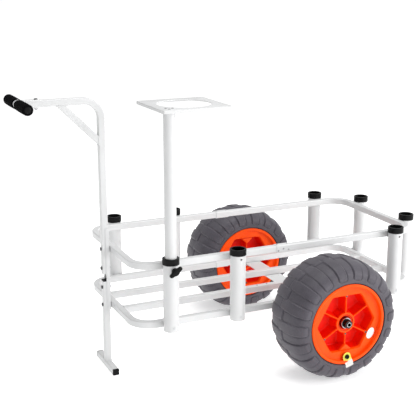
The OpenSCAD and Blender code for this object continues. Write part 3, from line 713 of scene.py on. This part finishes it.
def rim_shell():
    """One rim half about z, in mm: lip, annulus, six ribbed pockets, hub, barrel and back."""
    phi = (np.arange(EDGE_STEPS) / EDGE_STEPS - 0.5) * TAU / SPOKES
    turn = np.repeat(np.arange(SPOKES) * TAU / SPOKES, EDGE_STEPS) + np.tile(phi, SPOKES)
    around = len(turn)
    hexagon = np.tile(hexagon_radius(phi), SPOKES)
    points, faces = [], []

    def add(xy, w):
        points.extend((x, y, w) for x, y in xy)
        return len(points) - len(xy)

    def ring(radius, w):
        return add(np.stack([radius * np.cos(turn), radius * np.sin(turn)], 1), w)

    def bridge(a, b):
        for i in range(around):
            j = (i + 1) % around
            faces.append((a + i, a + j, b + j, b + i))

    edge = ring(hexagon - 1.4, RIB_W)
    rings = [edge, ring(hexagon - 1.0, FACE_W - 1.0), ring(hexagon - 0.3, FACE_W - 0.1)]
    rings.append(ring(hexagon + 0.8, FACE_W))
    rings += [ring(np.full(around, radius), w) for radius, w in LIP_TO_HUB]
    for a, b in zip(rings, rings[1:]):
        bridge(a, b)
    hub = rings[-1]
    ribs = []
    for k in range(SPOKES):
        start = np.array(points[edge + k * EDGE_STEPS][:2])
        end = np.array(points[hub + k * EDGE_STEPS][:2])
        inner = [start + (end - start) * t for t in np.linspace(0, 1, RIB_STEPS + 1)[1:-1]]
        first = add(inner, RIB_W)
        ribs.append(list(range(first, first + len(inner))))
    for k in range(SPOKES):
        outer_edge = [edge + (k * EDGE_STEPS + j) % around for j in range(EDGE_STEPS + 1)]
        hub_edge = [hub + (k * EDGE_STEPS + j) % around for j in range(EDGE_STEPS, -1, -1)]
        border = outer_edge + ribs[(k + 1) % SPOKES] + hub_edge + ribs[k][::-1]
        angle = k * TAU / SPOKES
        spin = np.array([[math.cos(angle), -math.sin(angle)], [math.sin(angle), math.cos(angle)]])
        local = np.array([points[i][:2] for i in border]) @ spin
        mouth = pocket_mouth(local)
        middle = np.array([POCKET_MID, 0.0])
        last = border
        for scale, w in POCKET_RINGS:
            first = add((middle + (mouth - middle) * scale) @ spin.T, w)
            here = list(range(first, first + len(border)))
            for i in range(len(border)):
                j = (i + 1) % len(border)
                faces.append((last[i], last[j], here[j], here[i]))
            last = here
    return points, faces


def on_wheel(part, middle, sign):
    """A part in mm about the wheel's own axis, put on one face of the wheel."""
    points, faces = part
    return [(middle.x + x * MM, middle.y + sign * w * MM, middle.z + y * MM) for x, y, w in points], faces


def shifted(part, x_shift, y_shift):
    points, faces = part
    return [(x + x_shift, y + y_shift, w) for x, y, w in points], faces


def wedge(outline, low, high, shrink):
    """A closed outline raised from low to high, its top a little smaller and rounded; all in mm."""
    outline = np.array(outline)
    middle = outline.mean(0)
    points = []
    levels = [
        (0.0, low), (1.0, low), (shrink, high - 1.0), (shrink * 0.97, high - 0.25), (shrink * 0.93, high),
        (0.0, high),
    ]
    for scale, w in levels:
        points += [(x, y, w) for x, y in middle + (outline - middle) * scale]
    return points, grid_faces(len(levels), len(outline), wrap_columns=True)


BURIED_W = 44  # offset at which bosses and the valve's land start, in the thick foot of the walls
BOSS = [(0, BURIED_W), (6.0, BURIED_W), (5.4, 60), (5.0, 76.8), (4.4, 78.1), (0, 78.1)]


def make_rim(side_name, half, shell):
    middle, sign = wheel_side(side_name, half)
    parts = [on_wheel(shell, middle, sign)]
    body = side_name + "_wheel"
    # Bosses under the through screws
    for points in islands(side_name + "_rim_screws"):
        spot = (points.mean(0) - np.array(middle)) / MM
        parts.append(on_wheel(shifted(turned(BOSS, 32), spot[0], spot[2]), middle, sign))
    # Triangular land that carries the valve
    valve = (centre(side_name + "_valve") - middle).z / MM
    down = 1 if valve > 0 else -1
    land = rounded([(-24, down * 93.5), (24, down * 93.5), (3, down * 74), (-3, down * 74)], 4.0, 6)
    parts.append(on_wheel(wedge(land, BURIED_W, FACE_W, 0.93), middle, sign))
    piece(f"{side_name}_rim_{half}_moulded", parts, body, "rim_orange", [f"{side_name}_rim_{half}"])


def make_rim_screws(side_name):
    """Through screws with a cross head on both faces of the wheel."""
    parts = []
    node = side_name + "_rim_screws"
    head_r, head_h, rod_r = 3.2 * MM, 2.0 * MM, 2.4 * MM
    for count, points in enumerate(islands(node)):
        low, high = points.min(0), points.max(0)
        mid = (low + high) / 2
        for sign, y in ((-1, low[1]), (1, high[1])):
            seat = (mid[0], y - sign * head_h, mid[2])
            parts.append(placed(cross_head(head_r, head_h), seat, (0, sign, 0), count))
        length = high[1] - low[1] - 2 * head_h
        rod = [(0, 0), (rod_r, 0), (rod_r, length), (0, length)]
        parts.append(placed(turned(rod, 24), (mid[0], low[1] + head_h, mid[2]), (0, 1, 0)))
    piece(node + "_cross", parts, side_name + "_wheel", SLOT_OF[node], [node], DARK_CHROME)


# ---- sticker and tag on the rims ------------------------------------------------------------------

STICKER_R, STICKER_HALF_WIDTH, STICKER_HALF_LENGTH = 108.0, 13.0, 19.5
STICKER_ANGLE = math.radians(-28)


def make_sticker(side_name):
    """Blank oval sticker on the annulus, its long axis along the rim."""
    middle, sign = wheel_side(side_name, "outer")
    cos_a, sin_a = math.cos(STICKER_ANGLE), math.sin(STICKER_ANGLE)
    steps = 48
    levels = [(0.0, FACE_W - 0.1), (1.0, FACE_W - 0.1), (1.0, FACE_W + 0.25), (0.985, FACE_W + 0.35),
              (0.0, FACE_W + 0.35)]
    points = []
    for scale, w in levels:
        for k in range(steps):
            turn = TAU * k / steps
            radius = STICKER_R + STICKER_HALF_WIDTH * scale * math.cos(turn)
            along = STICKER_HALF_LENGTH * scale * math.sin(turn)
            points.append((radius * cos_a - along * sin_a, radius * sin_a + along * cos_a, w))
    part = on_wheel((points, grid_faces(len(levels), steps, wrap_columns=True)), middle, sign)
    piece(side_name + "_blank_sticker", [part], side_name + "_wheel", "frame_white", material=STICKER)


TAG_HALF, TAG_LENGTH, TAG_HOLE, TAG_THICK = 14.5, 50.0, 6.4, 0.5
TAG_W = 92.2
VALVE_NUT = [(2.6, 93.4), (7.4, 93.4), (7.8, 94.0), (7.2, 97.4), (5.4, 98.4), (2.6, 98.4)]


def make_tag(side_name):
    """Blank paper tag hung on the valve: a strip with a round top and a hole, bent over the lip."""
    middle, sign = wheel_side(side_name, "outer")
    valve = (centre(side_name + "_valve") - middle) / MM
    down = -1 if valve.z < 0 else 1
    columns = 48
    rays = []
    for k in range(columns):
        turn = TAU * k / columns
        dx, dy = math.cos(turn), math.sin(turn)
        to_end = (TAG_LENGTH - TAG_HALF) / -dy if dy < 0 else TAG_HALF
        rays.append((dx, dy, min(TAG_HALF / max(abs(dx), 1e-6), to_end)))
    points = []
    levels = [(0.0, 0), (0.25, 0), (0.6, 0), (1.0, 0), (1.0, 1), (0.6, 1), (0.25, 1), (0.0, 1)]
    for share, top in levels:
        for dx, dy, reach in rays:
            radius = TAG_HOLE + (reach - TAG_HOLE) * share
            u, v = dx * radius, dy * radius
            # Up over the lip, a little curved across, then sagging past it
            lift = TAG_W + 6.0 * float(smoothstep(-6.0, -24.0, v)) + 0.5 * math.cos(u / 6)
            lift -= 0.06 * max(-26 - v, 0) ** 1.25
            x = valve.x + u * math.cos(TAG_LEAN) - v * math.sin(TAG_LEAN)
            y = valve.z - down * (u * math.sin(TAG_LEAN) + v * math.cos(TAG_LEAN))
            points.append((x, y, lift + TAG_THICK * top))
    strip = points, grid_faces(len(levels), columns, wrap_rows=True, wrap_columns=True)
    nut = shifted(turned(VALVE_NUT, 36), valve.x, valve.z)
    body = side_name + "_wheel"
    piece(side_name + "_valve_nut", [on_wheel(nut, middle, sign)], body, "plastic_black")
    piece(side_name + "_blank_tag", [on_wheel(strip, middle, sign)], body, "frame_white",
          material=tag_paper(middle, valve, down))


shell = rim_shell()
for name in SIDES:
    make_tyre(name)
    for half in ("outer", "inner"):
        make_rim(name, half, shell)
    make_rim_screws(name)
    make_sticker(name)
    make_tag(name)
    softened(name + "_bushes", 0.7 * MM, 3)
softened("axle_washers", 0.5 * MM, 3)
softened("axle", 0.5 * MM, 3, material=AXLE_STEEL)
softened("axle_collars", 0.8 * MM, 3, material=COLLAR_STEEL)


# ---- grips, knob and caps -------------------------------------------------------------------------

def make_grip(node):
    """Foam sleeve with a slight belly, soft shoulders and a closed outer end."""
    low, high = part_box(node)
    mid = (low + high) / 2
    outward = 1 if mid.y > 0 else -1
    length, radius = high.y - low.y, (high.z - low.z) / 2
    shoulder = 4.5 * MM
    profile = [(0.0, 0.0), (0.55 * radius, 0.0)]
    for t in np.linspace(0, 1, 41):
        end = min(t, 1 - t) * length
        drop = shoulder - math.sqrt(max(shoulder ** 2 - max(shoulder - end, 0) ** 2, 0))
        profile.append((radius - drop - 0.35 * MM * (1 - math.sin(math.pi * t)), t * length))
    profile += [(0.66 * radius, length), (0.6 * radius, length - 0.8 * MM), (0.0, length - 0.8 * MM)]
    start = (mid.x, mid.y - outward * length / 2, mid.z)
    axis = (0, outward, 0)
    piece(node + "_foam", [placed(turned(profile, 96), start, axis)], "frame", "foam_black", [node])
    plug = [(0.0, length - 2 * MM), (0.58 * radius, length - 2 * MM), (0.58 * radius, length - 0.5 * MM),
            (0.52 * radius, length), (0.3 * radius, length + 0.3 * MM), (0.0, length + 0.3 * MM)]
    piece(node + "_plug", [placed(turned(plug, 64), start, axis)], "frame", "plastic_black")


KNOB_TILT = math.radians(-35)
KNOB_HUB_R, WING_REACH, WING_HALF, KNOB_BLEND = 11.0, 18.2, 7.0, 3.0


def knob_outline(steps):
    """Radius at each angle of a hub with two wings, all blended together; in mm."""
    outline = []
    for k in range(steps):
        direction = np.array([math.cos(TAU * k / steps), math.sin(TAU * k / steps)])
        near, far = 0.0, 40.0
        for _ in range(26):
            radius = (near + far) / 2
            spot = direction * radius
            gaps = [np.linalg.norm(spot) - KNOB_HUB_R]
            for side in (-1, 1):
                x = min(max(side * spot[0], 0), WING_REACH)
                gaps.append(np.hypot(side * spot[0] - x, spot[1]) - WING_HALF)
            blend = 1.0 - KNOB_BLEND * math.log(sum(math.exp(-gap / KNOB_BLEND) for gap in gaps))
            near, far = (radius, far) if blend < 0 else (near, radius)
        outline.append(radius)
    return outline


def make_knob(node, steps=96, layers=25):
    """Winged knob with a small cap in its hub and a collar at its foot."""
    low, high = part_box(node)
    mid = (low + high) / 2
    depth = high.y - low.y
    outline = knob_outline(steps)
    tilt = Matrix.Rotation(KNOB_TILT, 3, "Y")
    start = Vector((mid.x, high.y, mid.z))
    points = []
    for t in np.linspace(0, 1, layers):
        size = max(1 - abs(2 * t - 1) ** 3.2, 0) ** (1 / 3.2)
        for k, radius in enumerate(outline):
            angle, reach = TAU * k / steps, radius * size * MM
            spot = Vector((reach * math.cos(angle), -t * depth, reach * math.sin(angle)))
            points.append(start + tilt @ spot)
    wings = points, grid_faces(layers, steps, wrap_columns=True)
    hub = [(0, 12), (4.5, 12), (5.2, 12.6), (5.2, 13.6), (4.6, 14.2), (0, 14.2)]
    cap = placed(turned([(r * MM, h * MM) for r, h in hub], 40), start, (0, -1, 0))
    ring = [(11.88, 0), (8.1, 0), (8.1, 3), (9, 4), (11.16, 4), (11.88, 3)]
    foot = placed(turned([(r * MM, h * MM) for r, h in ring], 48), start, (0, -1, 0))
    body = frame["nodes"][node]["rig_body"]
    piece(node + "_winged", [wings, cap, foot], body, "plastic_black", [node])


for node in ("left_grip", "right_grip"):
    make_grip(node)
make_knob("clamp_knob")
for node in ("clamp_collar", "holder_rings", "end_plugs"):
    softened(node, 0.45 * MM)
for node in ("frame_bolts", "frame_nuts", "clamp_nut", "beam_rivets"):
    softened(node, 0.5 * MM)
for node in ("axle_straps", "channel_pads", "holder_saddles", "wheel_spacers", "rail_sleeves", "axle_beam"):
    softened(node, 0.35 * MM)
softened("mast_channel", 0.4 * MM)
for node in ("front_top_hoop", "rear_top_hoop", "front_deck_hoop", "rear_deck_hoop",
             "front_deck_bars", "rear_deck_bars"):
    softened(node, 3.2 * MM, 3)
for node, edge in (("handle_tube", 2.2), ("handle_brace", 1.8), ("front_leg", 1.3), ("foot_bar", 0.9)):
    softened(node, edge * MM, 3)
screws("splice_screws", 3 * MM, 1.6 * MM, 1.5 * MM)
screws("plate_screws", 4.6 * MM, 1.8 * MM, 2 * MM, domed=1.6)


def make_plate():
    """Square table plate with crisp corners, a softened top edge, a turned-down lip and a round hole."""
    low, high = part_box("table_plate")
    mid = (low + high) / 2
    half, corner, hole = (high.x - low.x) / 2, 3.5 * MM, 85.5 * MM
    top, thick, steps = high.z, 3 * MM, 480
    angles = (np.arange(steps) + 0.5) * TAU / steps
    turn = np.stack([np.cos(angles), np.sin(angles)], 1)

    def outline(inset):
        """Radius of the rounded square at every angle."""
        size, bend = half - inset, max(corner - inset, 0.5 * MM)
        flat = size / np.abs(turn).max(1)
        along = np.abs(turn).sum(1) * (size - bend)
        arc = along + np.sqrt(np.maximum(along ** 2 - 2 * (size - bend) ** 2 + bend ** 2, 0))
        return np.where(np.abs(turn * flat[:, None]).min(1) > size - bend, arc, flat)

    # (radius, height) from the hole's lower edge over the top and down the lip to the underside
    levels = [
        (hole, top - thick), (hole, top - 0.8 * MM), (hole + 0.8 * MM, top), (outline(1.2 * MM), top),
        (outline(0.35 * MM), top - 0.35 * MM), (outline(0), top - 1.2 * MM), (outline(0), low.z),
        (outline(thick), low.z), (outline(thick), top - thick),
    ]
    points = []
    for radius, z in levels:
        points += [(mid.x + x, mid.y + y, z) for x, y in turn * np.broadcast_to(radius, steps)[:, None]]
    plate = points, grid_faces(len(levels), steps, wrap_rows=True, wrap_columns=True)
    body = frame["nodes"]["table_plate"]["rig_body"]
    piece("table_plate_pressed", [plate], body, "frame_white", ["table_plate"])


def make_buttons():
    """Pale snap-in buttons in the lower driver hole of every holder."""
    low_rail = centre("front_deck_hoop").z
    basket_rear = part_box("rear_top_hoop")[1].x
    button = [(0, -2.5), (3.3, -2.5), (3.3, 0.1), (4.2, 0.25), (4.0, 0.8), (2.6, 1.3), (0, 1.45)]
    parts = []
    for k in range(1, 9):
        low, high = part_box(f"holder_{k}")
        mid = (low + high) / 2
        radius = (high.x - low.x) / 2
        if mid.x > basket_rear:
            out = Vector((1, 0, 0))
        else:
            out = Vector((0, 1 if mid.y > 0 else -1, 0))
        spot = Vector((mid.x, mid.y, low_rail)) + out * radius
        parts.append(placed(turned([(r * MM, h * MM) for r, h in button], 28), spot, out))
    piece("holder_buttons", parts, "frame", "frame_white", material=BUTTON)


def make_welds():
    """Beads where the tubes meet: brace, foot bar, deck bars and T-bar."""
    x_axis, y_axis, z_axis = (1, 0, 0), (0, 1, 0), (0, 0, 1)
    brace_low, brace_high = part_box("handle_brace")
    foot_low, foot_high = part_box("foot_bar")
    leg = centre("front_leg")
    half = (foot_high.x - foot_low.x) / 2
    slant = half * math.sqrt(2)
    bead = 1.7 * MM
    routes = [
        frame_around((brace_high.x, 0, brace_low.z + slant), y_axis, z_axis, half, slant),
        frame_around((brace_low.x + slant, 0, brace_high.z), x_axis, y_axis, slant, half),
        frame_around((leg.x, 0, foot_high.z), x_axis, y_axis, half, half),
    ]
    for node, outer_end in (("front_deck_bars", 0), ("rear_deck_bars", 1)):
        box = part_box(node)
        x, z = box[outer_end].x, centre(node).z
        for side in (-1, 1):
            y = side * (box[1].y - half)
            routes.append(frame_around((x, y, z), y_axis, z_axis, half, half))
    bar_r, arc_r, sleeve_half = 12.7 * MM, 12.9 * MM, 13.2 * MM
    tee = Vector((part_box("tee_bar")[0].x + bar_r, 0, centre("tee_bar").z))
    for side in (-1, 1):
        arc = [tee + Vector((arc_r * math.cos(a), side * sleeve_half, arc_r * math.sin(a)))
               for a in np.linspace(-1.45, 1.45, 24)]
        routes.append(arc + arc[-2:0:-1])
    piece("weld_beads", [weld(route, bead) for route in routes], "frame", "frame_white")


make_plate()
make_buttons()
make_welds()


# ---- floor, light and camera ----------------------------------------------------------------------

PICTURE_RIGHT = (0.909, -0.416, 0)


def floor():
    mesh = bpy.data.meshes.new("studio_floor")
    edge = 40.0
    corners = [(-edge, -edge, 0), (edge, -edge, 0), (edge, edge, 0), (-edge, edge, 0)]
    mesh.from_pydata(corners, [], [(0, 1, 2, 3)])
    s = Shader("studio_floor", 0.95, Base_Color=(0.96, 0.96, 0.96, 1), Emission_Color=(1, 1, 1, 1),
               Emission_Strength=0.45, Specular_IOR_Level=0.1)
    mesh.materials.append(s.material)
    obj = bpy.data.objects.new("studio_floor", mesh)
    bpy.context.scene.collection.objects.link(obj)


def area_light(name, place, aim, width, height, watts):
    data = bpy.data.lights.new(name, "AREA")
    data.shape = "RECTANGLE"
    data.size, data.size_y = width, height
    data.energy = watts
    obj = bpy.data.objects.new(name, data)
    obj.location = place
    obj.rotation_euler = (Vector(aim) - Vector(place)).to_track_quat("-Z", "Y").to_euler()
    bpy.context.scene.collection.objects.link(obj)


def world():
    """White surroundings; their light is dim from the picture's left and strong from its right."""
    w = bpy.data.worlds.new("studio")
    w.use_nodes = True
    nodes, links = w.node_tree.nodes, w.node_tree.links
    side = nodes.new("ShaderNodeVectorMath")
    side.operation = "DOT_PRODUCT"
    side.inputs[1].default_value = PICTURE_RIGHT
    links.new(nodes.new("ShaderNodeTexCoord").outputs["Generated"], side.inputs[0])
    strength = nodes.new("ShaderNodeMapRange")
    strength.inputs["From Min"].default_value = -1
    strength.inputs["To Min"].default_value = 0.26
    strength.inputs["To Max"].default_value = 0.94
    links.new(side.outputs["Value"], strength.inputs["Value"])
    seen = nodes.new("ShaderNodeMix")
    links.new(nodes.new("ShaderNodeLightPath").outputs["Is Camera Ray"], seen.inputs[0])
    links.new(strength.outputs["Result"], seen.inputs[2])
    seen.inputs[3].default_value = 1.0
    links.new(seen.outputs[0], nodes["Background"].inputs["Strength"])
    nodes["Background"].inputs["Color"].default_value = (1, 1, 1, 1)
    bpy.context.scene.world = w


def camera():
    """A long lens up to the front left of the cart; its place, angles and focal length are fitted ones."""
    data = bpy.data.cameras.new("photo_camera")
    data.sensor_width = 36
    data.lens = 79.09
    data.clip_end = 100
    obj = bpy.data.objects.new("photo_camera", data)
    hoop_middle = (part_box("front_top_hoop")[0].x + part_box("rear_top_hoop")[1].x) / 2
    obj.location = (hoop_middle - 1.4419, -2.7760, 1.3271)
    obj.rotation_euler = (math.radians(90 - 14.85), 0, math.radians(-24.61))
    bpy.context.scene.collection.objects.link(obj)
    bpy.context.scene.camera = obj


floor()
world()
area_light("key", (2.5, -3.0, 1.5), (0, 0, 0.4), 2.2, 2.0, 84)
area_light("top", (0.0, 0.0, 4.2), (0, 0, 0.4), 3.0, 3.0, 98)
camera()
bpy.context.scene.view_settings.view_transform = "Standard"
